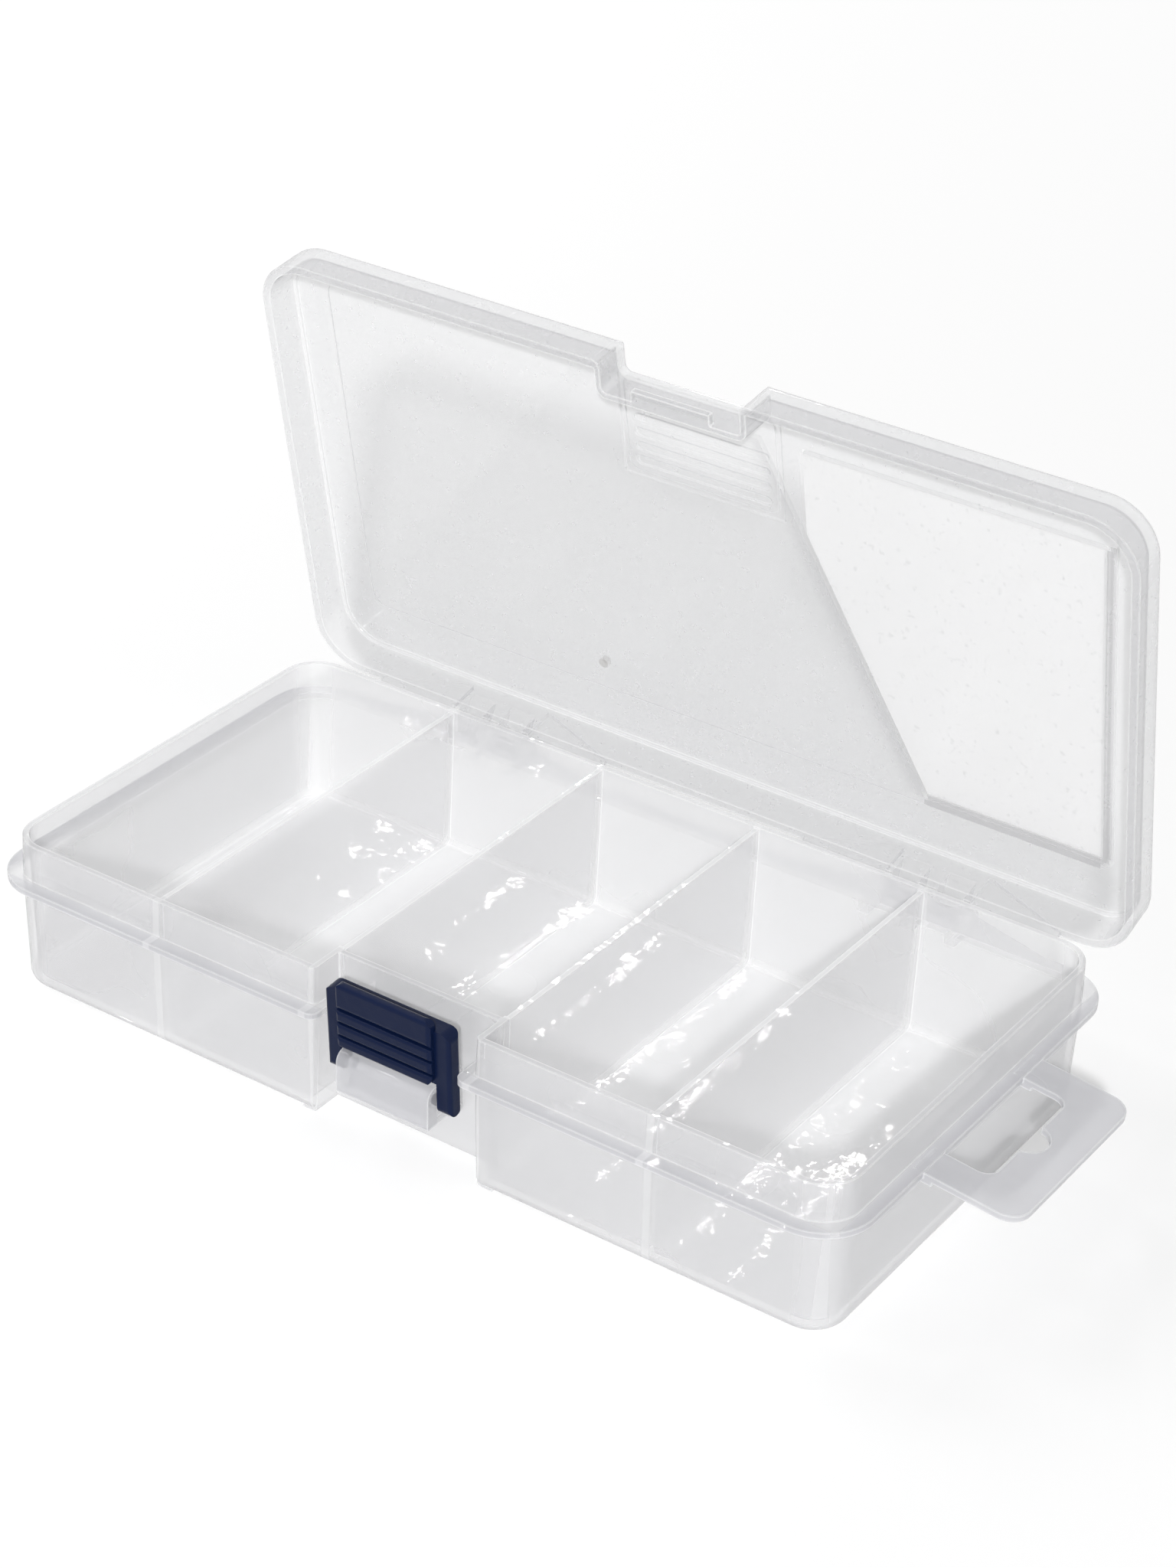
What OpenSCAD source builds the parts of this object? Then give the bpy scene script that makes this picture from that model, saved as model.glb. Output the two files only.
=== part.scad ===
// Compartment case for fishing lures: a clear tray with fixed dividers and a
// hang tab, a clear lid on two pin hinges and a swing latch in the front recess.
// Frame: X along the case, Y to the back, Z up, origin under the tray's middle.
// The lid and the latch are drawn closed, then turned to their rest positions.

/* [Case] */
// Length of the case over the ledge and the lid
case_l = 195; // [190:1:230]
// Depth of the case over the ledge and the lid, front to back
case_w = 101; // [92:1:120]
// Height of the tray from its underside to its rim
tray_h = 33; // [32:0.5:34]
// Plan radius of the four outer corners
corner_r = 11; // [9:0.5:14]
// Thickness of the tray's walls
wall = 1.5; // [1.2:0.1:1.8]
// Thickness of the tray's floor
floor_t = 1.5; // [1.2:0.1:2.2]
// Fillet under the tray's outer bottom edge
foot_r = 2.6; // [1.5:0.1:3]
// Fillet between the walls and the floor inside
inner_r = 1.6; // [0.8:0.1:2]
// How far the outer walls lean in from the ledge down to the foot
draft_low = 0.65; // [0.2:0.05:0.9]
// How far the outer walls lean in from the ledge up to the rim
draft_rim = 0.25; // [0.1:0.05:0.4]

/* [Ledge] */
// How far the ledge stands out of the walls
ledge_out = 3; // [2.6:0.1:3.6]
// Thickness of the ledge
ledge_t = 1.3; // [1:0.1:1.6]
// Height of the rim that stands above the ledge inside the lid
rim_h = 7.8; // [7.4:0.1:8.2]
// How far the ledge stands out of the two side walls of the front recess
recess_ledge = 2; // [1.6:0.1:2.2]
// Plan radius of the ledge's two ends at the front recess
ledge_end_r = 2; // [1:0.1:2.4]

/* [Dividers] */
// Number of compartments in a row
cells = 5; // [3:2:5]
// Distance from one divider to the next
cell_pitch = 37.5; // [36.8:0.1:38]
// Thickness of a divider at its foot
div_foot = 1.5; // [1.2:0.1:1.8]
// Thickness of a divider at its top
div_top = 1.1; // [0.9:0.1:1.2]
// How far the dividers stop below the rim
div_drop = 0.5; // [0.2:0.1:2]

/* [Front recess] */
// Depth of the recess behind the front wall
recess_d = 7.3; // [7:0.1:8]
// Fillet under the walls of the recess
recess_foot_r = 0.7; // [0.4:0.1:0.7]

/* [Pivot block] */
// Width of the block that carries the latch
block_w = 21.2; // [20:0.1:21.6]
// Height of the block's underside above the table
block_z = 11.1; // [10.6:0.1:11.6]
// Height of the block's flat front face
block_face = 6.2; // [5.8:0.1:6.4]
// Radius of the block's rounded front edge
block_r = 2.2; // [1.7:0.1:2.4]
// Thickness of the block's walls
block_t = 1.6; // [1.4:0.1:1.8]

/* [Latch] */
// Width of the latch over its two legs
latch_w = 28.3; // [27.8:0.1:29.2]
// Height of the latch's pivot above the table
pivot_z = 15.6; // [15.3:0.1:15.9]
// How far the pivot lies behind the block's front face
pivot_in = 3.85; // [3.7:0.05:4]
// Depth of a leg, front to back
leg_d = 3.4; // [3.1:0.1:3.6]
// Height of the legs and of the top bar above the pivot
latch_h = 17.2; // [16.6:0.1:17.4]
// Thickness of the top bar
bar_t = 1.8; // [1.4:0.1:2.2]
// Thickness of the plate between the legs
plate_t = 1.2; // [1:0.1:1.4]
// How far the finger pad stands out of the plate
pad_out = 1.4; // [1.2:0.1:1.8]
// How far the finger pad's lip stands above the top bar
pad_lip = 2.5; // [1.5:0.1:2.6]
// Height of the finger pad's lower edge above the pivot
pad_z = 5.2; // [5:0.1:5.5]
// Distance from one groove of the pad to the next
groove_step = 3; // [2.6:0.1:3.2]
// Number of grooves across the pad
grooves = 3; // [1:1:3]
// Width of a groove at its bottom
groove_w = 0.5; // [0.3:0.05:0.7]
// Depth of a groove
groove_d = 0.9; // [0.6:0.05:1]
// Radius of the ribs between the grooves
rib_round = 0.7; // [0.4:0.05:0.8]
// Radius of the pad's crown at the top
crown_r = 0.95; // [0.6:0.05:1]
// Radius of the pad's corners as seen from the front
pad_corner = 1.8; // [1:0.1:2]
// Radius of the pad's two upright front edges
pad_edge = 0.8; // [0.4:0.1:1]
// Radius of the legs' outer upright edges
leg_edge = 0.8; // [0.4:0.1:1]
// Radius of the latch's top corners
latch_r = 2; // [1:0.1:2.5]
// Diameter of the two pivot pins
pin_d = 2.2; // [1.8:0.1:2.4]
// Running clearance of a pin in its hole, all round
pin_play = 0.05; // [0.03:0.01:0.09]
// Gap between a leg and the block beside it
leg_gap = 0.4; // [0.3:0.05:0.5]
// Angle by which the latch stands open at rest
latch_rest = 4; // [3.8:0.1:6]

/* [Lid] */
// Thickness of the lid's panel
panel_t = 1.6; // [1.3:0.1:1.8]
// Thickness of the lid's skirt
skirt_t = 1.8; // [1.5:0.1:1.8]
// Gap between the tray's rim and the lid's panel
rim_gap = 0.2; // [0.15:0.05:0.4]
// Gap between the ledge and the skirt's free edge
seat_gap = 0.15; // [0.12:0.01:0.25]
// How far the skirt leans in from its free edge to the panel
skirt_draft = 0.35; // [0.2:0.05:0.5]
// Radius of the edge between the skirt and the panel
lid_r = 2; // [1.2:0.1:2.6]
// Radius of that edge round the notch
notch_r = 0.8; // [0.4:0.1:1.2]
// Angle by which the lid stands open at rest
lid_rest = 78.15; // [70:0.05:95]
// Distance from the lid's front edge back to the wall of its notch
notch_d = 6.8; // [6.7:0.05:6.9]
// How much narrower the notch is than the gap in the ledge, on each side
notch_side = 0.5; // [0:0.1:0.8]
// Thickness of the notch's walls
notch_t = 1.2; // [1:0.1:1.5]
// Radius of the notch's two inner corners
notch_in_r = 1; // [0.5:0.1:1.4]
// Width of the catch on the wall of the notch
catch_w = 17.4; // [12:0.1:18]
// How far the catch stands out of the wall of the notch
catch_out = 2.3; // [2.1:0.05:2.35]
// Thickness of the catch
catch_t = 1.4; // [1.2:0.1:1.5]
// How far the latch's ridge reaches over the catch
catch_bite = 0.5; // [0.3:0.05:0.5]
// Height of the gap between the catch and the ridge
catch_gap = 0.4; // [0.3:0.05:0.5]

/* [Sunk field] */
// Depth of the sunk field in the panel's outside
field_t = 0.4; // [0.2:0.05:0.6]
// Border beside the field at the case's ends
field_side = 9.2; // [8:0.1:12]
// Border in front of the field
field_front = 8.7; // [8:0.1:12]
// Border behind the field
field_back = 11.8; // [8:0.1:14]
// Plan radius of the field's corners
field_r = 3; // [1:0.5:6]

/* [Thumb plate] */
// Width of the thumb plate in the lid's front middle
thumb_w = 36.4; // [36:0.1:38]
// Depth of the thumb plate behind the wall of the notch
thumb_d = 24.4; // [23.4:0.1:25]
// Width of the frame round the thumb plate
thumb_frame = 1.2; // [0.8:0.1:1.4]
// Plan radius of the thumb plate's corners
thumb_r = 2; // [1:0.1:2.4]
// Number of ribs on the thumb plate
ribs = 4; // [1:1:4]
// Distance from one rib to the next
rib_step = 3.3; // [3:0.1:3.6]
// Length of a rib
rib_l = 30.4; // [26:0.1:31]
// Width of a rib
rib_w = 1.8; // [1.4:0.1:2]
// Height of a rib
rib_h = 0.5; // [0.3:0.05:0.6]
// Distance from the wall of the notch back to the first rib
rib_in = 10.9; // [9:0.1:11.2]

/* [Hinges] */
// Distance from the ledge back to the hinge pins
hinge_out = 3.9; // [3.7:0.1:4.2]
// Distance from the case's middle to the middle of a hinge
hinge_x = 52.8; // [48:0.1:54]
// Width of a hinge over its outer ears
hinge_w = 21.6; // [20:0.1:23]
// Thickness of an outer ear
ear_t = 2.2; // [1.8:0.1:2.6]
// Thickness of the ear in the middle
mid_t = 3; // [2.4:0.1:3.4]
// Diameter of a hinge pin
hinge_pin_d = 3; // [2.6:0.1:3.2]
// Running clearance of a clip on its pin, all round
hinge_play = 0.06; // [0.04:0.01:0.09]
// Radius of the ears round the pin
ear_r = 2.6; // [2.4:0.1:2.7]
// Radius of the clips round the pin
clip_r = 2.8; // [2.6:0.1:2.9]
// Gap between a clip and the ear beside it
clip_gap = 0.5; // [0.4:0.05:0.8]
// Width of a clip's mouth
clip_mouth = 2.3; // [2:0.1:2.4]
// Length of the sloping web beside each hinge
web_l = 18; // [12:0.5:19]
// How far the lid's sloping ribs stand out of the skirt
web_out = 0.9; // [0.5:0.1:1]

/* [Hang tab] */
// How far the tab stands out of the ledge
tab_out = 19.3; // [17.5:0.1:24]
// Width of the tab
tab_w = 43.4; // [38:0.2:48]
// How far the tab's middle lies in front of the case's middle
tab_shift = 1.4; // [0:0.1:3]
// Thickness of the tab
tab_t = 1.3; // [1:0.1:1.4]
// Width of the two strips beside the slot
tab_strip = 7.3; // [5:0.1:8]
// Width of the slot's straight part
slot_out = 9.6; // [8:0.1:10]
// Plan radius of the slot's corners
slot_r = 3; // [1:0.1:4]
// Radius of the round bump in the slot's outer side
bump_r = 4.3; // [3.5:0.1:4.8]
// Plan radius of the tab's outer corners
tab_r = 4.5; // [2:0.1:6]
// Angle by which the tab slopes down
tab_slope = 6.5; // [0:0.5:9]

/* [Label] */
// Width of the label
label_w = 63.5; // [56:0.5:65]
// Distance between the label and the back of the sunk field
label_back = 3; // [1:0.1:5]
// Width of the corner that is cut off
label_cut_w = 25; // [15:0.5:35]
// Share of the label's depth that the cut takes off
label_cut = 0.735; // [0.5:0.005:0.85]
// Distance between the label and the end of the sunk field
label_side = 1.9; // [1:0.1:4]
// Distance between the label and the front of the sunk field
label_front = 4; // [2:0.1:4.4]
// Plan radius of the label's corners
label_r = 1.2; // [0.6:0.1:2]
// Thickness of the label
label_t = 0.15; // [0.1:0.05:0.2]

/* [Hidden] */
fine = 64;
deep = 128;
soft = 32;
nip = 0.3;
hair = 0.03;

// Plan of the tray's walls at the ledge
wall_l = case_l - 2 * ledge_out;
wall_w = case_w - 2 * ledge_out;
wall_r = corner_r - ledge_out;
front_y = -wall_w / 2;
ledge_top = tray_h - rim_h;
ledge_low = ledge_top - ledge_t;
// Plan of the recess in the tray's front, between the two middle dividers
recess_y = front_y + recess_d;
recess_half = (cell_pitch - div_foot) / 2;
recess_reach = draft_low + wall + inner_r + nip;
recess_cut = wall + recess_foot_r;
// Heights of the lid when it is closed, and the plan of its notch
panel_low = tray_h + rim_gap;
lid_top = panel_low + panel_t;
field_z = lid_top - field_t;
skirt_low = ledge_top + seat_gap;
notch_y = -case_w / 2 + notch_d;
notch_half = recess_half - recess_ledge;
lid_notch = notch_half - notch_side;
notch_reach = skirt_draft + notch_t + nip + 1;
// Hinge pins
axis_y = case_w / 2 + hinge_out;
axis_z = ledge_low;
hinge_half = hinge_w / 2;
clip_l = hinge_half - ear_t - mid_t / 2 - 2 * clip_gap;
clip_x = mid_t / 2 + clip_gap + clip_l / 2;
// Pivot block and latch
block_y = -case_w / 2;
block_half = block_w / 2;
block_top = block_z + block_face + block_r;
pivot_y = block_y + pivot_in;
latch_half = latch_w / 2;
leg_front = pivot_y - leg_d / 2;
leg_back = pivot_y + leg_d / 2;
leg_in = block_half + leg_gap;
pad_half = leg_in - 0.2;
pad_front = leg_front - pad_out;
plate_back = leg_front + plate_t;
bar_top = pivot_z + latch_h;
pad_top = bar_top + pad_lip;
pad_low = pivot_z + pad_z;
groove_z = pad_low + groove_step - groove_w;
catch_tip = notch_y - catch_out;
catch_top = skirt_low + catch_t;
// Thumb plate
thumb_half = thumb_w / 2;
thumb_back = notch_y + thumb_d;
// Label, in the sunk field
label_x1 = case_l / 2 - field_side - label_side;
label_x0 = label_x1 - label_w;
label_y0 = -case_w / 2 + field_front + label_front;
label_y1 = case_w / 2 - field_back - label_back;
label_cut_d = label_cut * (label_y1 - label_y0);

// Wall and floor edge of the tray; the wall's outside at the ledge is at x = 0
module tray_section(reach, foot, inner) {
    low = -draft_low;
    difference() {
        union() {
            polygon([
                [-reach, 0], [low - foot, 0], [low - foot, foot], [low, foot],
                [0, ledge_low], [0, ledge_top], [-draft_rim, tray_h], [-wall, tray_h],
                [-wall, ledge_top], [low - wall, floor_t + inner],
                [low - wall - inner, floor_t + inner], [low - wall - inner, floor_t],
                [-reach, floor_t]
            ]);
            intersection() {
                translate([low - foot, foot])
                    circle(r = foot, $fn = fine);
                translate([low - foot - nip, 0])
                    square([foot + nip, foot + nip]);
            }
        }
        translate([low - wall - inner, floor_t + inner])
            circle(r = inner, $fn = fine);
    }
}

// Skirt and panel edge of the lid; the skirt's free edge ends at x = 0
module lid_section(reach, edge, skirt) {
    top = -skirt_draft;
    polygon([
        [-reach, panel_low], [top - skirt, panel_low], [-skirt, skirt_low],
        [0, skirt_low], [top, lid_top - edge], [top - edge, lid_top - edge],
        [top - edge, lid_top], [-reach, lid_top]
    ]);
    intersection() {
        translate([top - edge, lid_top - edge])
            circle(r = edge, $fn = fine);
        translate([top - edge - nip, lid_top - edge - nip])
            square([edge + nip, edge + nip]);
    }
}

// A straight run of a section with its outside towards +X, from y = -l to y = 0
module run(l) {
    rotate([90, 0, 0])
        linear_extrude(height = l)
            children();
}

// A quarter turn of a section about a corner's centre, from +X to +Y
module turn(r) {
    rotate_extrude(angle = 90, $fn = deep)
        intersection() {
            translate([r, 0])
                children();
            square([2 * case_w, 2 * tray_h]);
        }
}

// A section carried round a rectangle with round corners
module ring(l, w, r) {
    for (k = [0:3]) {
        a = (k % 2 == 0 ? l : w) / 2;
        b = (k % 2 == 0 ? w : l) / 2;
        rotate([0, 0, 90 * k]) {
            translate([a, b - r, 0])
                run(2 * (b - r))
                    children();
            translate([a - r, b - r, 0])
                turn(r)
                    children();
        }
    }
}

// Plan of a rectangle with round corners, from one corner to the other
module round_plan(x0, y0, x1, y1, r) {
    translate([x0 + r, y0])
        square([x1 - x0 - 2 * r, y1 - y0]);
    translate([x0, y0 + r])
        square([x1 - x0, y1 - y0 - 2 * r]);
    for (x = [x0 + r, x1 - r], y = [y0 + r, y1 - r])
        translate([x, y])
            circle(r = r, $fn = fine);
}

// A profile drawn in Y and Z, pulled from x0 to x1
module across(x0, x1) {
    translate([x0, 0, 0])
        rotate([90, 0, 90])
            linear_extrude(height = x1 - x0)
                children();
}

// The same part on the left and on the right
module both_sides() {
    children();
    mirror([1, 0, 0])
        children();
}

// Walls of the tray all round, with the front left open for the recess
module tray_walls() {
    slab_x = wall_l / 2 - wall_r;
    slab_y = wall_w / 2 - wall_r;
    difference() {
        union() {
            ring(wall_l, wall_w, wall_r)
                tray_section(wall_r, foot_r, inner_r);
            translate([-slab_x, -slab_y, 0])
                cube([2 * slab_x, 2 * slab_y, floor_t]);
        }
        translate([-recess_half - recess_cut, front_y - 1, -1])
            cube([2 * (recess_half + recess_cut), recess_d + recess_cut + 1, tray_h + 2]);
    }
}

// Walls of the recess: two rounded front corners, two sides and the back
module recess_walls() {
    side_l = recess_d + recess_cut - wall;
    both_sides() {
        translate([-recess_half, recess_y + recess_cut, 0])
            run(side_l)
                tray_section(recess_reach, recess_foot_r, inner_r);
        translate([-recess_half - wall, front_y + wall, 0])
            rotate([0, 0, -90])
                turn(wall)
                    intersection() {
                        tray_section(recess_reach, foot_r, inner_r);
                        translate([-wall, 0])
                            square([wall, tray_h]);
                    }
        translate([-recess_half - wall, front_y, 0])
            rotate([0, 0, -90])
                run(recess_cut - wall + nip)
                    tray_section(recess_reach, foot_r, inner_r);
    }
    translate([recess_half + wall, recess_y, 0])
        rotate([0, 0, -90])
            run(2 * (recess_half + wall))
                tray_section(recess_reach, recess_foot_r, inner_r);
}

// Ledge that carries the lid, cut through at the recess with rounded ends
module ledge() {
    end_x = notch_half + ledge_end_r;
    y0 = -case_w / 2;
    in = wall / 2;
    translate([0, 0, ledge_low])
        linear_extrude(height = ledge_t) {
            difference() {
                round_plan(-case_l / 2, y0, case_l / 2, -y0, corner_r);
                round_plan(-wall_l / 2 + in, front_y + in, wall_l / 2 - in, -front_y - in,
                    wall_r - in);
                translate([-end_x, y0 - 1])
                    square([2 * end_x, ledge_out + wall + 1]);
            }
            for (s = [-1, 1]) {
                translate([s * end_x, y0 + ledge_end_r])
                    circle(r = ledge_end_r, $fn = fine);
                translate([s > 0 ? notch_half : -recess_half - in, y0 + ledge_end_r])
                    square([recess_ledge + in, ledge_out + recess_d - ledge_end_r + in]);
                translate([s > 0 ? end_x : -recess_half - wall, y0])
                    square([recess_half + wall - end_x, ledge_out + in]);
            }
        }
}

// Fixed dividers, tapered to the top; the two middle ones end at the recess
module dividers() {
    low = floor_t - nip;
    top = tray_h - div_drop;
    foot_in = draft_low + wall * 0.7;
    mid_in = draft_low + wall / 2;
    top_in = wall / 2;
    y1 = wall_w / 2;
    for (i = [1:cells - 1]) {
        x = (i - cells / 2) * cell_pitch;
        y0 = abs(x) < cell_pitch ? recess_y : front_y;
        intersection() {
            translate([x, y1, 0])
                rotate([90, 0, 0])
                    linear_extrude(height = y1 - y0)
                        polygon([
                            [-div_foot / 2, low], [div_foot / 2, low],
                            [div_top / 2, top], [-div_top / 2, top]
                        ]);
            across(x - div_foot, x + div_foot)
                polygon([
                    [y0 + foot_in, low - 1], [y0 + foot_in, foot_r], [y0 + mid_in, foot_r],
                    [y0 + top_in, ledge_low], [y0 + top_in, top + 1],
                    [y1 - top_in, top + 1], [y1 - top_in, ledge_low],
                    [y1 - mid_in, foot_r], [y1 - foot_in, foot_r], [y1 - foot_in, low - 1]
                ]);
        }
    }
}

// Hollow block on the recess's back wall, with a hole in each cheek for a pin
module pivot_block() {
    difference() {
        across(-block_half, block_half)
            block_plan(0, recess_y + wall / 2);
        across(-block_half + block_t, block_half - block_t)
            block_plan(block_t, recess_y);
        across(-block_half - 1, block_half + 1)
            translate([pivot_y, pivot_z])
                circle(d = pin_d + 2 * pin_play, $fn = fine);
    }
}

// Side view of the block, drawn in by t, as far back as y1
module block_plan(t, y1) {
    y0 = block_y + t;
    z0 = block_z - (t > 0 ? 1 : 0);
    z1 = block_top - t;
    r = max(block_r - t, 0.3);
    translate([y0, z0])
        square([y1 - y0, z1 - r - z0]);
    translate([y0 + r, z1 - r - nip])
        square([y1 - y0 - r, r + nip]);
    translate([y0 + r, z1 - r])
        circle(r = r, $fn = fine);
}

// Ears, pin and sloping webs of one hinge, behind the ledge
module tray_hinge() {
    back = axis_y - wall_w / 2 + wall / 2;
    ear_x = hinge_half - ear_t / 2;
    for (e = [[-ear_x, ear_t], [0, mid_t], [ear_x, ear_t]])
        across(hinge_x + e[0] - e[1] / 2, hinge_x + e[0] + e[1] / 2)
            translate([axis_y, axis_z]) {
                circle(r = ear_r, $fn = fine);
                polygon([
                    [-back, ledge_t], [0, ledge_t], [0.6, -ear_r * 0.8], [-back, -ear_r * 0.8]
                ]);
            }
    across(hinge_x - ear_x, hinge_x + ear_x)
        translate([axis_y, axis_z])
            circle(d = hinge_pin_d, $fn = fine);
    for (s = [-1, 1])
        translate([hinge_x + s * hinge_half, 0, ledge_low])
            linear_extrude(height = ledge_t)
                polygon([
                    [-s * ear_t / 2, case_w / 2 - 1], [s * web_l, case_w / 2 - 1],
                    [s * web_l, case_w / 2], [0, axis_y + 1], [-s * ear_t / 2, axis_y + 1]
                ]);
}

// Hang tab on the right end of the ledge: two strips and an outer strip
module hang_tab() {
    root = 2;
    half = tab_w / 2;
    slot_half = half - tab_strip;
    translate([case_l / 2, -tab_shift, ledge_top - 0.15])
        rotate([0, tab_slope, 0])
            translate([0, 0, -tab_t])
                difference() {
                    union() {
                        linear_extrude(height = tab_t)
                            round_plan(-root - tab_r, -half, tab_out, half, tab_r);
                        for (s = [-1, 1])
                            translate([0, s * (half - tab_strip / 2), -0.8])
                                translate([-root, -tab_strip / 2, 0])
                                    cube([2 * root, tab_strip, 1.4]);
                    }
                    translate([-tab_r - 2 * root, -half - 1, -2])
                        cube([tab_r + root, tab_w + 2, tab_t + 4]);
                    translate([0, 0, -2])
                        linear_extrude(height = tab_t + 4) {
                            round_plan(-slot_r - 1, -slot_half, slot_out, slot_half, slot_r);
                            translate([slot_out - bump_r / 5, 0])
                                circle(r = bump_r, $fn = fine);
                        }
                    translate([-root - 1, -slot_half, -2])
                        cube([root + 2, 2 * slot_half, tab_t + 4]);
                }
}

module tray() {
    color([0.93, 0.94, 0.97, 0.6]) {
        tray_walls();
        recess_walls();
        ledge();
        dividers();
        pivot_block();
        both_sides()
            tray_hinge();
        hang_tab();
    }
}

// Skirt and panel of the lid, with the notch in its front
module lid_shell() {
    slab_x = case_l / 2 - corner_r;
    slab_y = case_w / 2 - corner_r;
    y0 = -case_w / 2;
    difference() {
        union() {
            ring(case_l, case_w, corner_r)
                lid_section(corner_r, lid_r, skirt_t);
            translate([-slab_x, -slab_y, panel_low])
                cube([2 * slab_x, 2 * slab_y, panel_t]);
        }
        translate([-lid_notch - skirt_t, y0 - 1, 0])
            cube([2 * (lid_notch + skirt_t), notch_d + skirt_t + 1, lid_top + 1]);
    }
    difference() {
        notch_walls();
        across(-lid_notch - skirt_t - 1, lid_notch + skirt_t + 1)
            difference() {
                translate([y0 - 1, lid_top - lid_r])
                    square([skirt_draft + lid_r + 1, lid_r + 1]);
                translate([y0 + skirt_draft + lid_r, lid_top - lid_r])
                    circle(r = lid_r + hair, $fn = fine);
            }
    }
}

// Walls of the notch: rounded outer corners, two sides, two inner corners and the back
module notch_walls() {
    y0 = -case_w / 2;
    corner_x = lid_notch - notch_in_r;
    corner_y = notch_y - notch_in_r;
    both_sides() {
        translate([-lid_notch, corner_y, 0])
            run(corner_y - y0 - skirt_t)
                lid_section(notch_reach, notch_r, notch_t);
        translate([-lid_notch - skirt_t, y0 + skirt_t, 0])
            rotate([0, 0, -90])
                turn(skirt_t)
                    intersection() {
                        lid_section(notch_reach, notch_r, skirt_t);
                        translate([-skirt_t, 0])
                            square([skirt_t, lid_top]);
                    }
        translate([-corner_x, corner_y, 0])
            rotate([0, 0, 90])
                turn(notch_in_r)
                    mirror([1, 0])
                        lid_section(notch_reach, notch_r, notch_t);
    }
    translate([corner_x, notch_y, 0])
        rotate([0, 0, -90])
            run(2 * corner_x)
                lid_section(notch_reach, notch_r, notch_t);
    corner_fill();
}

// Panel in the corners between the notch's round walls and the lid's own panel
module corner_fill() {
    reach = notch_reach + notch_in_r;
    both_sides()
        translate([0, 0, panel_low])
            linear_extrude(height = panel_t)
                difference() {
                    translate([-lid_notch + notch_in_r - reach, notch_y - notch_in_r])
                        square([reach, reach]);
                    translate([-lid_notch + notch_in_r, notch_y - notch_in_r])
                        circle(r = notch_in_r + skirt_draft + notch_r + nip, $fn = fine);
                }
}

// Plan of the sunk field, which steps round the thumb plate
module field_plan() {
    difference() {
        round_plan(-case_l / 2 + field_side, -case_w / 2 + field_front,
            case_l / 2 - field_side, case_w / 2 - field_back, field_r);
        translate([-thumb_half, -case_w / 2])
            square([thumb_w, thumb_back + case_w / 2]);
    }
}

// Round-ended ribs on the thumb plate
module thumb_ribs() {
    half = rib_l / 2 - rib_w / 2;
    for (i = [0:ribs - 1])
        translate([0, notch_y + rib_in + i * rib_step, field_z - nip])
            linear_extrude(height = rib_h + nip) {
                translate([-half, -rib_w / 2])
                    square([2 * half, rib_w]);
                for (s = [-1, 1])
                    translate([s * half, 0])
                        circle(d = rib_w, $fn = soft);
            }
}

// Two clips of one hinge, each on an arm behind the skirt
module lid_hinge() {
    low = skirt_low - axis_z;
    in = hinge_out + skirt_draft + skirt_t / 2;
    for (s = [-1, 1])
        across(hinge_x + s * clip_x - clip_l / 2, hinge_x + s * clip_x + clip_l / 2)
            translate([axis_y, axis_z])
                difference() {
                    union() {
                        circle(r = clip_r, $fn = fine);
                        polygon([
                            [-in, low], [-in, low + 5.4], [-hinge_out - skirt_draft, low + 5.4],
                            [1.2, clip_r * 0.88], [-0.5, low]
                        ]);
                    }
                    circle(d = hinge_pin_d + 2 * hinge_play, $fn = fine);
                    translate([0, -clip_mouth / 2])
                        square([clip_r + 1, clip_mouth]);
                }
    for (s = [-1, 1])
        translate([hinge_x + s * hinge_half, case_w / 2 + web_out, 0])
            rotate([90, 0, 0])
                linear_extrude(height = web_out + skirt_t / 2)
                    polygon([
                        [-s * 1.2, skirt_low], [s * web_l, skirt_low],
                        [s * web_l, skirt_low + 1.2], [0, lid_top - lid_r],
                        [-s * 1.2, lid_top - lid_r]
                    ]);
}

module lid_closed() {
    difference() {
        union() {
            lid_shell();
            both_sides()
                lid_hinge();
        }
        translate([0, 0, field_z])
            linear_extrude(height = field_t + 1)
                field_plan();
        translate([0, 0, field_z])
            linear_extrude(height = field_t + 1)
                round_plan(-thumb_half + thumb_frame, notch_y + skirt_t, thumb_half - thumb_frame,
                    thumb_back - thumb_frame, thumb_r);
    }
    thumb_ribs();
    translate([-catch_w / 2, catch_tip, skirt_low])
        cube([catch_w, catch_out + notch_t / 2, catch_t]);
}

// Turns what is drawn closed to the lid's rest position, about the hinge pins
module open_lid() {
    translate([0, axis_y, axis_z])
        rotate([-lid_rest, 0, 0])
            translate([0, -axis_y, -axis_z])
                children();
}

module lid() {
    color([0.93, 0.94, 0.97, 0.6])
        open_lid()
            lid_closed();
}

// Front view of the latch's legs and of the bar that joins them
module latch_front() {
    translate([-latch_half, 0])
        square([latch_w, bar_top - latch_r]);
    translate([-latch_half + latch_r, 0])
        square([latch_w - 2 * latch_r, bar_top]);
    for (s = [-1, 1])
        translate([s * (latch_half - latch_r), bar_top - latch_r])
            circle(r = latch_r, $fn = fine);
}

// Side view of the finger pad: a tall crown over round ribs, with a groove under each
module pad_side() {
    back = leg_front + plate_t / 2;
    low = pad_front + groove_d;
    translate([low, pad_low + rib_round])
        square([back - low, pad_top - pad_low - 2 * rib_round]);
    for (i = [0:grooves - 1]) {
        z0 = i == 0 ? pad_low : groove_z + (i - 1) * groove_step + groove_w / 2;
        z1 = groove_z + i * groove_step - groove_w / 2;
        round_plan(pad_front, z0, back, z1, rib_round);
    }
    round_plan(pad_front, groove_z + (grooves - 1) * groove_step + groove_w / 2, back, pad_top,
        crown_r);
}

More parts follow.
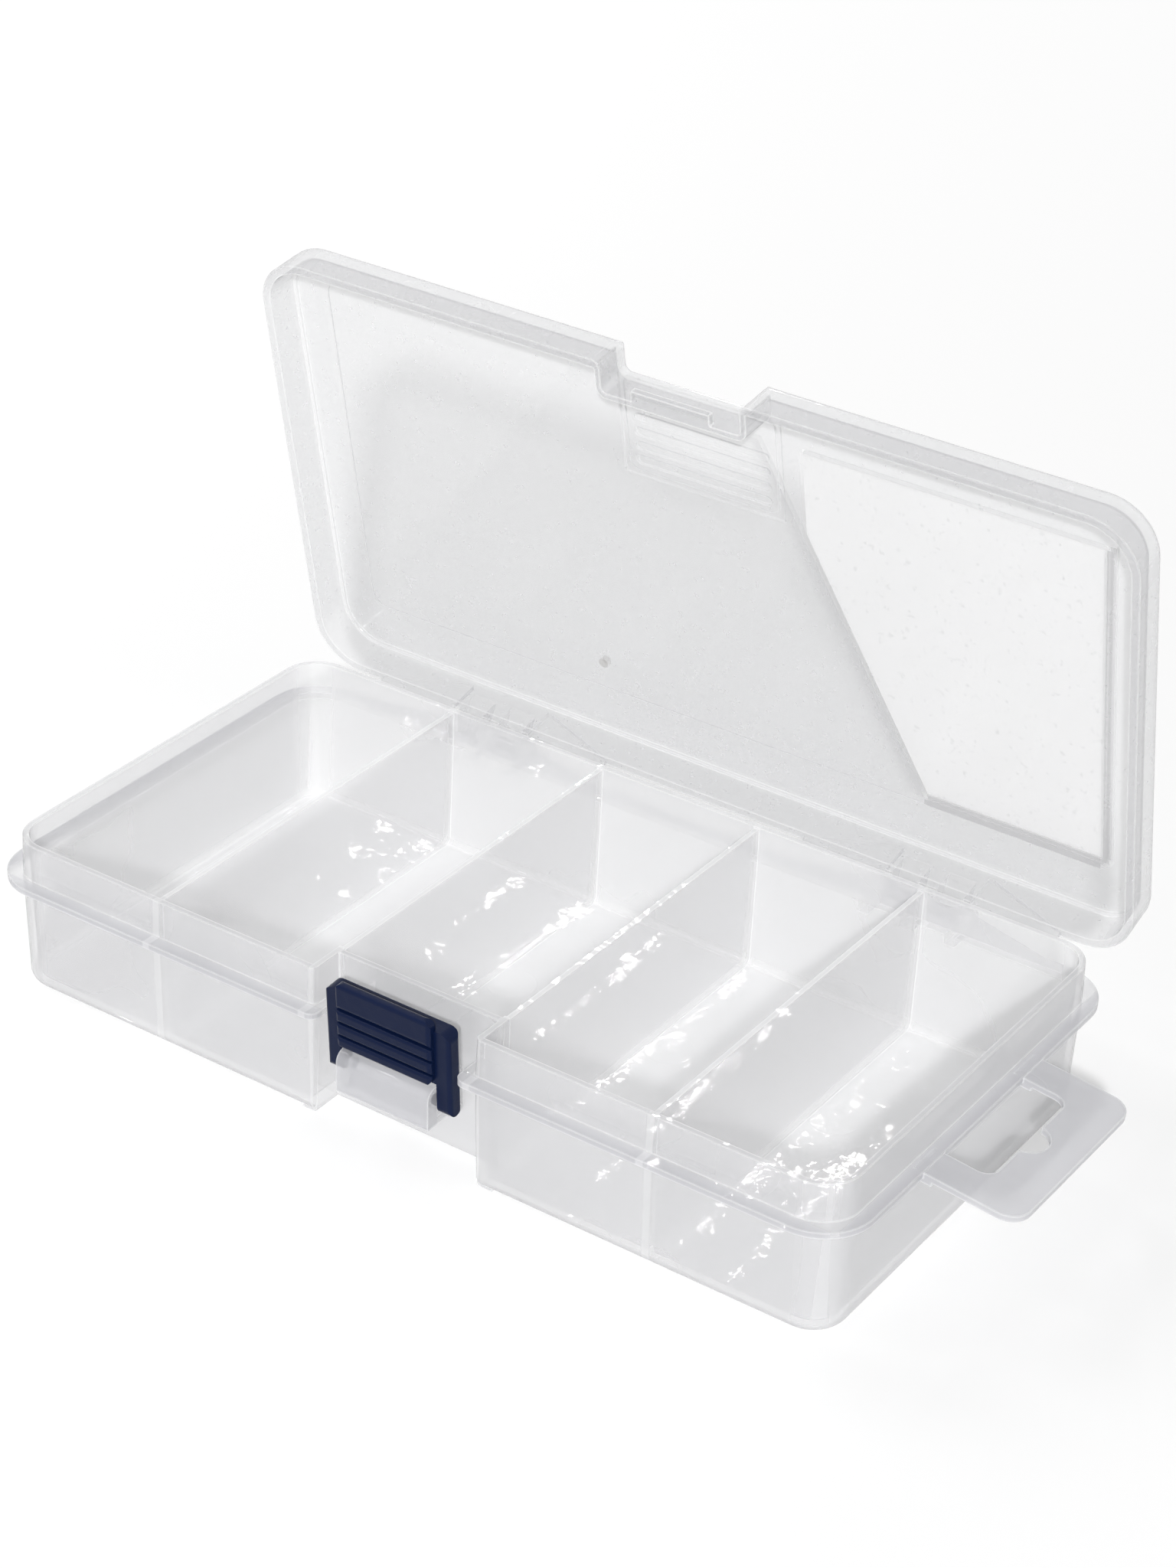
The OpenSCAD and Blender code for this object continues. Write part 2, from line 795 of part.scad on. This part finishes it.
// Finger pad: its side view, rounded also as seen from the front and from above
module finger_pad() {
    y1 = leg_front + plate_t;
    intersection() {
        across(-pad_half, pad_half)
            pad_side();
        translate([0, y1, 0])
            rotate([90, 0, 0])
                linear_extrude(height = y1 - pad_front + 1)
                    round_plan(-pad_half, pad_low, pad_half, pad_top, pad_corner);
        translate([0, 0, pad_low - 1])
            linear_extrude(height = pad_top - pad_low + 2)
                round_plan(-pad_half, pad_front, pad_half, y1 + 1, pad_edge);
    }
}

module latch_closed() {
    intersection() {
        union() {
            both_sides()
                across(leg_in, latch_half) {
                    translate([pivot_y, pivot_z])
                        circle(d = leg_d, $fn = fine);
                    translate([leg_front, pivot_z])
                        square([leg_d, latch_h]);
                }
            across(-leg_in - nip, leg_in + nip) {
                translate([leg_front, pad_low])
                    square([plate_t, latch_h - pad_z]);
                translate([leg_front, bar_top - bar_t])
                    square([leg_d, bar_t]);
            }
        }
        translate([0, leg_back + 1, 0])
            rotate([90, 0, 0])
                linear_extrude(height = leg_d + 2)
                    latch_front();
        translate([0, 0, pivot_z - leg_d])
            linear_extrude(height = latch_h + 2 * leg_d)
                round_plan(-latch_half, leg_front, latch_half, leg_back, leg_edge);
    }
    finger_pad();
    across(-catch_w / 2, catch_w / 2)
        polygon([
            [plate_back - nip, catch_top + catch_gap],
            [catch_tip + catch_bite, catch_top + catch_gap],
            [catch_tip + catch_bite, catch_top + catch_gap + 0.6],
            [plate_back - nip, catch_top + catch_gap + 2]
        ]);
    both_sides()
        translate([block_half - block_t + 0.1, pivot_y, pivot_z])
            rotate([0, 90, 0])
                cylinder(d = pin_d, h = leg_gap + block_t + 0.5, $fn = fine);
}

module latch() {
    color([0.12, 0.17, 0.32])
        translate([0, pivot_y, pivot_z])
            rotate([latch_rest, 0, 0])
                translate([0, -pivot_y, -pivot_z])
                    latch_closed();
}

// Paper label in the sunk field, with one corner cut off at a slant
module label() {
    slope = label_cut_d / label_cut_w;
    color([0.97, 0.97, 0.98])
        open_lid()
            translate([0, 0, field_z])
                linear_extrude(height = label_t)
                    difference() {
                        round_plan(label_x0, label_y0, label_x1, label_y1, label_r);
                        polygon([
                            [label_x0 - 1, label_y1 + 1],
                            [label_x0 - 1, label_y1 - label_cut_d - slope],
                            [label_x0 + label_cut_w + 1 / slope, label_y1 + 1]
                        ]);
                    }
}

tray();
lid();
latch();
label();
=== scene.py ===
import math

import bpy
from mathutils import Matrix, Vector


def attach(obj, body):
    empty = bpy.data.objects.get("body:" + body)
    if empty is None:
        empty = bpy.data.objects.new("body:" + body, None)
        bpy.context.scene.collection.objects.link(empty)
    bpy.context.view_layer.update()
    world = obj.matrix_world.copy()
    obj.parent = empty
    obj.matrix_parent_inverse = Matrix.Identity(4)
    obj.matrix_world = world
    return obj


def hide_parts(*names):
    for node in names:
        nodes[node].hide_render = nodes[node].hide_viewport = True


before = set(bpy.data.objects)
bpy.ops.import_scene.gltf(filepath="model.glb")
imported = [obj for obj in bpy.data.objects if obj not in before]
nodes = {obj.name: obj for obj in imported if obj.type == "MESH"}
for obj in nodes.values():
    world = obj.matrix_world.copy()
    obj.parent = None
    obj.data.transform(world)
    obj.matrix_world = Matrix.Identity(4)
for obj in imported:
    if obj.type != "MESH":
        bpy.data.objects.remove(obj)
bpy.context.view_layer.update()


# Camera. It stands in front of the case's right corner and looks down at the open compartments
# through a long lens, as in a catalogue picture, with a slight lean of the horizon.
azimuth, elevation, lean = (math.radians(a) for a in (33.49, 30.428, 2.434))
back = Vector((math.sin(azimuth) * math.cos(elevation), -math.cos(azimuth) * math.cos(elevation),
               math.sin(elevation)))
level = Vector((math.cos(azimuth), math.sin(azimuth), 0.0))
upright = back.cross(level)
right = math.cos(lean) * level + math.sin(lean) * upright
upward = math.cos(lean) * upright - math.sin(lean) * level
lens = bpy.data.cameras.new("case camera")
lens.sensor_fit = "AUTO"
lens.sensor_width = 36.0
lens.lens = 82.14
lens.clip_start, lens.clip_end = 0.05, 60.0
camera = bpy.data.objects.new("case camera", lens)
camera.matrix_world = Matrix.Translation((0.3243, -0.4767, 0.3962)) @ Matrix(
    (right, upward, back)).transposed().to_4x4()
bpy.context.scene.collection.objects.link(camera)
bpy.context.scene.camera = camera


# Tray. One moulding of clear polypropylene: thin walls, five compartments, a ledge for the lid,
# the block for the latch and the hang tab. It is milky by nature and glossy inside and out; its
# edges carry a painted highlight for the light they gather from the sheet behind them.
def add(tree, kind, inputs=None, **settings):
    """A node of a tree, with its settings and its inputs: values, or sockets to link from."""
    made = tree.nodes.new("ShaderNode" + kind)
    for name, value in settings.items():
        setattr(made, name, value)
    for name, value in (inputs or {}).items():
        if isinstance(value, bpy.types.NodeSocket):
            tree.links.new(value, made.inputs[name])
        else:
            made.inputs[name].default_value = value
    return made


def math_of(tree, operation, *values, clamp=False):
    return add(tree, "Math", dict(enumerate(values)), operation=operation, use_clamp=clamp).outputs[0]


def new_group(name, inputs, outputs):
    """An empty shader group with float inputs (a vector where named so) and float outputs."""
    tree = bpy.data.node_groups.new(name, "ShaderNodeTree")
    for socket, value in inputs.items():
        kind = "NodeSocketVector" if value is None else "NodeSocketFloat"
        made = tree.interface.new_socket(name=socket, in_out="INPUT", socket_type=kind)
        if value is not None:
            made.default_value = value
    for socket in outputs:
        tree.interface.new_socket(name=socket, in_out="OUTPUT", socket_type="NodeSocketFloat")
    return tree, tree.nodes.new("NodeGroupInput").outputs, tree.nodes.new("NodeGroupOutput").inputs


def use(tree, group, **values):
    """A group placed in a material, with this material's own values."""
    made = tree.nodes.new("ShaderNodeGroup")
    made.node_tree = group
    for name, value in values.items():
        if isinstance(value, bpy.types.NodeSocket):
            tree.links.new(value, made.inputs[name])
        else:
            made.inputs[name].default_value = value
    return made.outputs


def new_material(name):
    material = bpy.data.materials.new(name)
    material.use_nodes = True
    material.node_tree.nodes.clear()
    return material, material.node_tree


def noise(tree, place, scale, detail, **more):
    inputs = {"Vector": place, "Scale": scale, "Detail": detail}
    return add(tree, "TexNoise", inputs | {k.capitalize(): v for k, v in more.items()}).outputs["Fac"]


def ramp(tree, value, start, end, low=0.0, high=1.0):
    return add(tree, "MapRange", {"Value": value, "From Min": start, "From Max": end, "To Min": low,
                                  "To Max": high}).outputs[0]


def product(tree, first, second):
    return math_of(tree, "MULTIPLY", first, second)


def between(tree, value, low, high):
    return product(tree, math_of(tree, "GREATER_THAN", value, low), math_of(tree, "LESS_THAN", value, high))


def reach_of(tree, x, y):
    """How far a point lies from the middle, from its two distances."""
    return math_of(tree, "SQRT", math_of(tree, "ADD", math_of(tree, "POWER", x, 2.0),
                                         math_of(tree, "POWER", y, 2.0)))


def tint(tree, share, base, other):
    return add(tree, "Mix", {0: share, 6: base, 7: other + (1.0,)}, data_type="RGBA").outputs[2]


def edge_of(tree, plain):
    rounded = add(tree, "Bevel", {"Radius": 0.0006}, samples=2).outputs[0]
    return use(tree, edges, Rounded=rounded, Plain=plain)["Edge"]


def milky_surface(tree, colour, solid, bump, facing, let_through, gloss):
    """The case's plastic: a milky body that lets light through, under a thin mirror gloss."""
    body = add(tree, "BsdfPrincipled", {"Base Color": colour, "Roughness": 0.5, "Specular IOR Level": 0.0,
                                        "Alpha": solid, "Normal": bump}).outputs[0]
    clear = add(tree, "BsdfTransparent", {"Color": (1.0, 1.0, 1.0, 1.0)}).outputs[0]
    soft = add(tree, "BsdfTranslucent", {"Color": (0.95, 0.95, 0.955, 1.0), "Normal": bump}).outputs[0]
    passing = add(tree, "MixShader", {0: 0.5, 1: clear, 2: soft}).outputs[0]
    body = add(tree, "MixShader", {0: let_through, 1: body, 2: passing}).outputs[0]
    shine = add(tree, "BsdfGlossy", {"Roughness": gloss, "Normal": bump}).outputs[0]
    mirror = math_of(tree, "MULTIPLY_ADD", math_of(tree, "POWER", facing, 5.0), 0.9, 0.04)
    surface = add(tree, "MixShader", {0: mirror, 1: body, 2: shine}).outputs[0]
    add(tree, "OutputMaterial", {"Surface": surface})


def coat(node, material):
    nodes[node].data.materials.clear()
    nodes[node].data.materials.append(material)


# Cloudiness of the melt: broad soft clouds, and fine specks
clouds, c_in, c_out = new_group("melt clouds", {"Place": None, "Broad": 18.0, "Fine": 900.0},
                                ["Cloud", "Speck"])
broad = noise(clouds, c_in["Place"], c_in["Broad"], 3.0, roughness=0.45)
clouds.links.new(ramp(clouds, broad, 0.3, 0.7), c_out["Cloud"])
clouds.links.new(ramp(clouds, noise(clouds, c_in["Place"], c_in["Fine"], 1.0), 0.66, 0.78), c_out["Speck"])

# Waves of a moulded sheet: what makes a lamp's reflection wander
waves, w_in, w_out = new_group("sheet waves", {"Place": None, "Wide": 45.0, "Ripple": 260.0,
                                               "Ripple Share": 0.15}, ["Height"])
wide = noise(waves, w_in["Place"], w_in["Wide"], 2.0, roughness=0.4)
ripple = noise(waves, w_in["Place"], w_in["Ripple"], 1.0)
waves.links.new(math_of(waves, "MULTIPLY_ADD", ripple, w_in["Ripple Share"], wide), w_out["Height"])

# Painted edge highlight: every edge is painted near white, standing in for the light a clear sheet gathers
# and gives back at its edges, so they stand out white
edges, e_in, e_out = new_group("edge light", {"Rounded": None, "Plain": None, "Spread": 0.8}, ["Edge"])
turned = add(edges, "VectorMath", {0: e_in["Rounded"], 1: e_in["Plain"]}, operation="DOT_PRODUCT")
edges.links.new(ramp(edges, turned.outputs["Value"], 0.995, e_in["Spread"]), e_out["Edge"])
painted_edge_white = (0.98, 0.98, 0.985)

clear_tray, tree = new_material("clear tray plastic")
place = add(tree, "TexCoord").outputs["Object"]
at = add(tree, "SeparateXYZ", {0: place}).outputs
haze = use(tree, clouds, Place=place, Broad=16.0, Fine=800.0)
wave = use(tree, waves, Place=place, Wide=110.0, Ripple=420.0)
# each compartment's floor bulges a little, and carries the round mark of an ejector pin
cell_pitch, pin_x, pin_y, pin_radius, pin_line = 0.0375, 0.00485, 0.010, 0.005, 0.00035
bulge = math_of(tree, "COSINE", product(tree, at["X"], 2 * math.pi / cell_pitch))
row = math_of(tree, "MULTIPLY_ADD", at["X"], 1 / cell_pitch, 0.5)
cell_x = math_of(tree, "MULTIPLY_ADD", math_of(tree, "FRACT", row), cell_pitch, -pin_x)
pin = reach_of(tree, cell_x, math_of(tree, "SUBTRACT", at["Y"], pin_y))
pin = math_of(tree, "ABSOLUTE", math_of(tree, "SUBTRACT", pin, pin_radius))
relief = math_of(tree, "MULTIPLY_ADD", bulge, 0.7, product(tree, wave["Height"], 0.4))
relief = math_of(tree, "MULTIPLY_ADD", ramp(tree, pin, pin_line, 0.0), -0.03, relief)
plain = add(tree, "NewGeometry").outputs["Normal"]
normal = add(tree, "SeparateXYZ", {0: plain}).outputs
flat = math_of(tree, "GREATER_THAN", math_of(tree, "ABSOLUTE", normal["Z"]), 0.7)
relief = product(tree, relief, math_of(tree, "MULTIPLY_ADD", flat, 0.94, 0.06))
bump = add(tree, "Bump", {"Strength": 1.0, "Distance": 0.001, "Height": relief}).outputs[0]
facing = add(tree, "LayerWeight", {"Blend": 0.5}).outputs["Facing"]
edge = edge_of(tree, plain)
# a divider's foot gets a painted highlight: a paler line where it meets a wall that it stands square to
wide = math_of(tree, "ABSOLUTE", at["X"])
sideways = math_of(tree, "ABSOLUTE", normal["X"])
near = ramp(tree, math_of(tree, "PINGPONG", row, 0.5), 0.026, 0.016)
inner = math_of(tree, "LESS_THAN", wide, 0.07)
foot = product(tree, product(tree, near, inner), math_of(tree, "LESS_THAN", sideways, 0.5))
painted_highlight = math_of(tree, "MAXIMUM", product(tree, edge, 0.7), product(tree, foot, 0.3))
solid = math_of(tree, "MULTIPLY_ADD", haze["Cloud"], 0.05, 0.15)
solid = math_of(tree, "MULTIPLY_ADD", facing, 0.3, solid)
# the dividers are the thinnest walls, and the clearest
divider = product(tree, math_of(tree, "GREATER_THAN", sideways, 0.7), inner)
solid = product(tree, solid, math_of(tree, "MULTIPLY_ADD", divider, -0.62, 1.0))
solid = math_of(tree, "MULTIPLY_ADD", painted_highlight, 0.4, solid)
# painted shade: the outer walls, half the back and the recess are painted greyer than the dividers and the
# floor, and the ledge and the tab greyer still
end_wall, front_wall, end_ledge, front_ledge = 0.0915, 0.0445, 0.0948, 0.0478
recess_half, recess_back = 0.0198, 0.0386
recess = product(tree, math_of(tree, "LESS_THAN", wide, recess_half),
                 math_of(tree, "LESS_THAN", at["Y"], -recess_back))
outer_shade = math_of(tree, "MAXIMUM", math_of(tree, "GREATER_THAN", wide, end_wall),
                math_of(tree, "LESS_THAN", at["Y"], -front_wall))
back_half = product(tree, math_of(tree, "GREATER_THAN", at["Y"], front_wall), 0.5)
outer_shade = math_of(tree, "MAXIMUM", math_of(tree, "MAXIMUM", outer_shade, back_half), recess)
ledge = math_of(tree, "MAXIMUM", math_of(tree, "GREATER_THAN", wide, end_ledge),
                math_of(tree, "LESS_THAN", at["Y"], -front_ledge))
solid = math_of(tree, "MULTIPLY_ADD", ledge, 0.25, solid, clamp=True)
# painted shade on the outer walls, the back, the recess, the ledge and the tab
colour = tint(tree, outer_shade, (0.92, 0.921, 0.932, 1.0), (0.7, 0.7, 0.715))
colour = tint(tree, ledge, colour, (0.57, 0.57, 0.6))
# painted highlight: the edges and the divider feet are painted near white
colour = tint(tree, painted_highlight, colour, painted_edge_white)
milky_surface(tree, colour, solid, bump, facing, let_through=0.15, gloss=0.03)
coat("tray", clear_tray)


# Lid. One moulding of the same plastic, with a skirt all round and a sunk field in its panel. It
# snaps on the tray's two hinge pins. Where the label sticks to it, its glue makes the panel clearer.
hinge_y, hinge_z, lid_angle = 0.0544, 0.0239, math.radians(78.15)
label_left, label_right, label_near, label_far = 0.0229, 0.0864, -0.0378, 0.0357
label_cut_wide, label_cut_deep = 0.025, 0.054

clear_lid, tree = new_material("clear lid plastic")
place = add(tree, "TexCoord").outputs["Object"]
closed = add(tree, "VectorRotate", {"Vector": place, "Center": (0.0, hinge_y, hinge_z), "Angle": lid_angle},
             rotation_type="X_AXIS").outputs[0]
haze = use(tree, clouds, Place=place, Broad=14.0, Fine=700.0)
wave = use(tree, waves, Place=place, Wide=40.0)
bump = add(tree, "Bump", {"Strength": 0.2, "Distance": 0.002, "Height": wave["Height"]}).outputs[0]
facing = add(tree, "LayerWeight", {"Blend": 0.5}).outputs["Facing"]
edge = edge_of(tree, add(tree, "NewGeometry").outputs["Normal"])
at = add(tree, "SeparateXYZ", {0: closed}).outputs
beside = between(tree, at["X"], label_left, label_right)
along = between(tree, at["Y"], label_near, label_far)
along_x = math_of(tree, "MULTIPLY_ADD", at["X"], 1 / label_cut_wide, -label_left / label_cut_wide)
along_y = math_of(tree, "MULTIPLY_ADD", at["Y"], -1 / label_cut_deep, label_far / label_cut_deep)
slant = math_of(tree, "ADD", along_x, along_y)
glued = product(tree, product(tree, beside, along), math_of(tree, "GREATER_THAN", slant, 1.0))
solid = math_of(tree, "MULTIPLY_ADD", haze["Cloud"], 0.05, 0.11)
solid = math_of(tree, "MULTIPLY_ADD", facing, 0.3, solid)
solid = product(tree, solid, math_of(tree, "MULTIPLY_ADD", glued, -0.8, 1.0))
# beside the sheet the sunk field lies in its shade: a band along the slant, a line along the edges
slant_per_metre, line_off = 44.1, 0.0011
off = product(tree, math_of(tree, "SUBTRACT", 1.0, slant), 1 / slant_per_metre)
shade = product(tree, ramp(tree, off, 0.0042, 0.0005, high=0.5), math_of(tree, "GREATER_THAN", off, 0.0))
shade = product(tree, shade, along)
far_side = product(tree, beside, math_of(tree, "GREATER_THAN", at["X"], label_left + label_cut_wide))
for way, end, stretch in (("X", label_right, along), ("Y", label_far, far_side)):
    line = math_of(tree, "ABSOLUTE", math_of(tree, "SUBTRACT", at[way], end + line_off))
    shade = math_of(tree, "MAXIMUM", shade, product(tree, ramp(tree, line, 0.0009, 0.0005), stretch))
solid = math_of(tree, "MULTIPLY_ADD", shade, 0.2, solid)
# the thumb plate's grooves catch the light
thumb = product(tree, math_of(tree, "LESS_THAN", math_of(tree, "ABSOLUTE", at["X"]), 0.0185),
                math_of(tree, "LESS_THAN", at["Y"], -0.02))
solid = math_of(tree, "MULTIPLY_ADD", edge, math_of(tree, "MULTIPLY_ADD", thumb, 0.4, 0.4), solid)
solid = math_of(tree, "MULTIPLY_ADD", haze["Speck"], 0.08, solid, clamp=True)
# the grey point in the panel where the melt came in
gate_x, gate_y, gate_radius = -0.0274, 0.0311, 0.0011
gate = reach_of(tree, math_of(tree, "SUBTRACT", at["X"], gate_x), math_of(tree, "SUBTRACT", at["Y"], gate_y))
gate = math_of(tree, "LESS_THAN", gate, gate_radius)
solid = math_of(tree, "MULTIPLY_ADD", gate, 0.25, solid)
# a lamp's light is held back more than the eye's line of sight, most of all along the skirt
skirt = math_of(tree, "LESS_THAN", at["Z"], 0.0331)
held = product(tree, add(tree, "LightPath").outputs["Is Shadow Ray"],
               math_of(tree, "MULTIPLY_ADD", skirt, 0.45, 0.08))
solid = math_of(tree, "ADD", product(tree, held, math_of(tree, "SUBTRACT", 1.0, glued)), solid, clamp=True)
# painted shade: the lid's plastic is a greyer copy of the tray's, darkening the lid as a whole
colour = tint(tree, shade, (0.77, 0.772, 0.79, 1.0), (0.42, 0.42, 0.43))
# painted highlight: the lid's edges are painted near white
colour = tint(tree, edge, colour, painted_edge_white)
colour = tint(tree, gate, colour, (0.45, 0.44, 0.42))
milky_surface(tree, colour, solid, bump, facing, let_through=0.1, gloss=0.08)
coat("lid", clear_lid)


# Latch. A small moulding of navy polypropylene that turns on two pins in the tray's block. Its
# finger pad is grooved for grip.
navy, tree = new_material("navy latch plastic")
place = add(tree, "TexCoord").outputs["Object"]
wave = use(tree, waves, Place=place, Wide=300.0, Ripple=3000.0)
bump = add(tree, "Bump", {"Strength": 0.3, "Distance": 0.0003, "Height": wave["Height"]}).outputs[0]
paint = add(tree, "BsdfPrincipled", {"Base Color": (0.003, 0.008, 0.033, 1.0), "Roughness": 0.3,
                                     "Specular IOR Level": 0.12, "Normal": bump})
add(tree, "OutputMaterial", {"Surface": paint.outputs[0]})
coat("latch", navy)


# Label. Thin white paper, die-cut with one corner at a slant, glued into the lid's sunk field from
# outside. The sheet lies a fiftieth of a millimetre off the panel.
round_off, corner_steps, paper_low, paper_top = 0.0012, 6, 0.03442, 0.03455
corners = [(label_left, label_near), (label_right, label_near), (label_right, label_far),
           (label_left + label_cut_wide, label_far), (label_left, label_far - label_cut_deep)]
outline = []
for i, corner in enumerate(corners):
    tip, before, after = (Vector(corners[j % 5]) for j in (i, i - 1, i + 1))
    to_before, to_after = (before - tip).normalized(), (after - tip).normalized()
    half = to_before.angle(to_after) / 2
    middle = tip + (to_before + to_after).normalized() * (round_off / math.sin(half))
    first = math.atan2(*reversed((tip + to_before * round_off / math.tan(half) - middle)[:]))
    for k in range(corner_steps + 1):
        turn = first + (math.pi - 2 * half) * k / corner_steps
        outline.append(middle + round_off * Vector((math.cos(turn), math.sin(turn))))
open_lid = (Matrix.Translation((0.0, hinge_y, hinge_z)) @ Matrix.Rotation(-lid_angle, 4, "X")
            @ Matrix.Translation((0.0, -hinge_y, -hinge_z)))
count = len(outline)
points = [open_lid @ Vector((x, y, z)) for z in (paper_low, paper_top) for x, y in outline]
faces = [tuple(reversed(range(count))), tuple(range(count, 2 * count))]
faces += [(i, (i + 1) % count, count + (i + 1) % count, count + i) for i in range(count)]
label_mesh = bpy.data.meshes.new("label sheet")
label_mesh.from_pydata([point[:] for point in points], [], faces)
label = bpy.data.objects.new("label_sheet", label_mesh)
bpy.context.scene.collection.objects.link(label)
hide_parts("label")
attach(label, "lid")

paper, tree = new_material("label paper")
place = add(tree, "TexCoord").outputs["Object"]
grain = noise(tree, place, 2500.0, 3.0)
bump = add(tree, "Bump", {"Strength": 0.2, "Distance": 0.0001, "Height": grain}).outputs[0]
front = add(tree, "BsdfDiffuse", {"Color": (0.93, 0.93, 0.93, 1.0), "Normal": bump}).outputs[0]
through = add(tree, "BsdfTranslucent", {"Color": (0.93, 0.93, 0.93, 1.0), "Normal": bump}).outputs[0]
add(tree, "OutputMaterial", {"Surface": add(tree, "MixShader", {0: 0.3, 1: front, 2: through}).outputs[0]})
label_mesh.materials.append(paper)


# Table and light. A plain white table, a main lamp far in front, weak ones at the back and the
# left that draw the gloss, and even light from all round.
table_mesh = bpy.data.meshes.new("table")
reach = 5.0
corners = [(-reach, -reach, 0.0), (reach, -reach, 0.0), (reach, reach, 0.0), (-reach, reach, 0.0)]
table_mesh.from_pydata(corners, [], [(0, 1, 2, 3)])
table = bpy.data.objects.new("table", table_mesh)
table.location.z = -0.0002
bpy.context.scene.collection.objects.link(table)


def seen_by(tree):
    """1 for a ray that looks at the background, straight or by way of gloss or clear plastic."""
    ray = add(tree, "LightPath").outputs
    seen = math_of(tree, "ADD", ray["Is Camera Ray"], ray["Is Glossy Ray"], clamp=True)
    return math_of(tree, "ADD", seen, ray["Is Transmission Ray"], clamp=True)


table_white, tree = new_material("white table")
seen = seen_by(tree)
# its colour rises a little with the distance, where the lamp reaches it less
place = add(tree, "TexCoord").outputs["Object"]
away = add(tree, "VectorMath", {0: place}, operation="LENGTH").outputs["Value"]
rise = ramp(tree, away, 0.15, 0.8, 0.29, 0.46)
far = ramp(tree, away, 0.8, 4.0, high=0.5)
rise = math_of(tree, "ADD", rise, far)
lit = add(tree, "BsdfDiffuse", {"Color": (0.66, 0.66, 0.66, 1.0)}).outputs[0]
glow = add(tree, "Emission", {"Color": (1.0, 1.0, 1.0, 1.0),
                              "Strength": product(tree, seen, rise)}).outputs[0]
add(tree, "OutputMaterial", {"Surface": add(tree, "AddShader", {0: lit, 1: glow}).outputs[0]})
table_mesh.materials.append(table_white)

sky = bpy.data.worlds.new("studio")
sky.use_nodes = True
tree = sky.node_tree
tree.nodes.clear()
seen = seen_by(tree)
height = add(tree, "SeparateXYZ", {0: add(tree, "TexCoord").outputs["Generated"]}).outputs["Z"]
above = ramp(tree, height, 0.0, 1.0, 0.08, 0.4)
strength = add(tree, "Mix", {0: seen, 2: above, 3: 1.0}, data_type="FLOAT").outputs[0]
light = add(tree, "Background", {"Color": (1.0, 1.0, 1.0, 1.0), "Strength": strength}).outputs[0]
add(tree, "OutputWorld", {"Surface": light})
bpy.context.scene.world = sky

lamps = (("front lamp", (1.5, -2.47, 1.73), 0.16, 120.0), ("back lamp", (-0.97, 1.53, 1.19), 0.07, 2.0),
         ("side lamp", (-0.75, 0.1, 0.75), 0.5, 2.6), ("left lamp", (-0.95, -0.8, 1.5), 0.25, 1.6))
for name, spot, size, power in lamps:
    lamp = bpy.data.lights.new(name, "AREA")
    lamp.shape, lamp.size, lamp.energy = "SQUARE", size, power
    holder = bpy.data.objects.new(name, lamp)
    holder.location = spot
    holder.rotation_mode = "QUATERNION"
    holder.rotation_quaternion = (Vector(spot) - Vector((0.0, 0.0, 0.05))).to_track_quat("Z", "Y")
    bpy.context.scene.collection.objects.link(holder)

bpy.context.scene.view_settings.view_transform = "Standard"
bpy.context.scene.cycles.transparent_max_bounces = 40
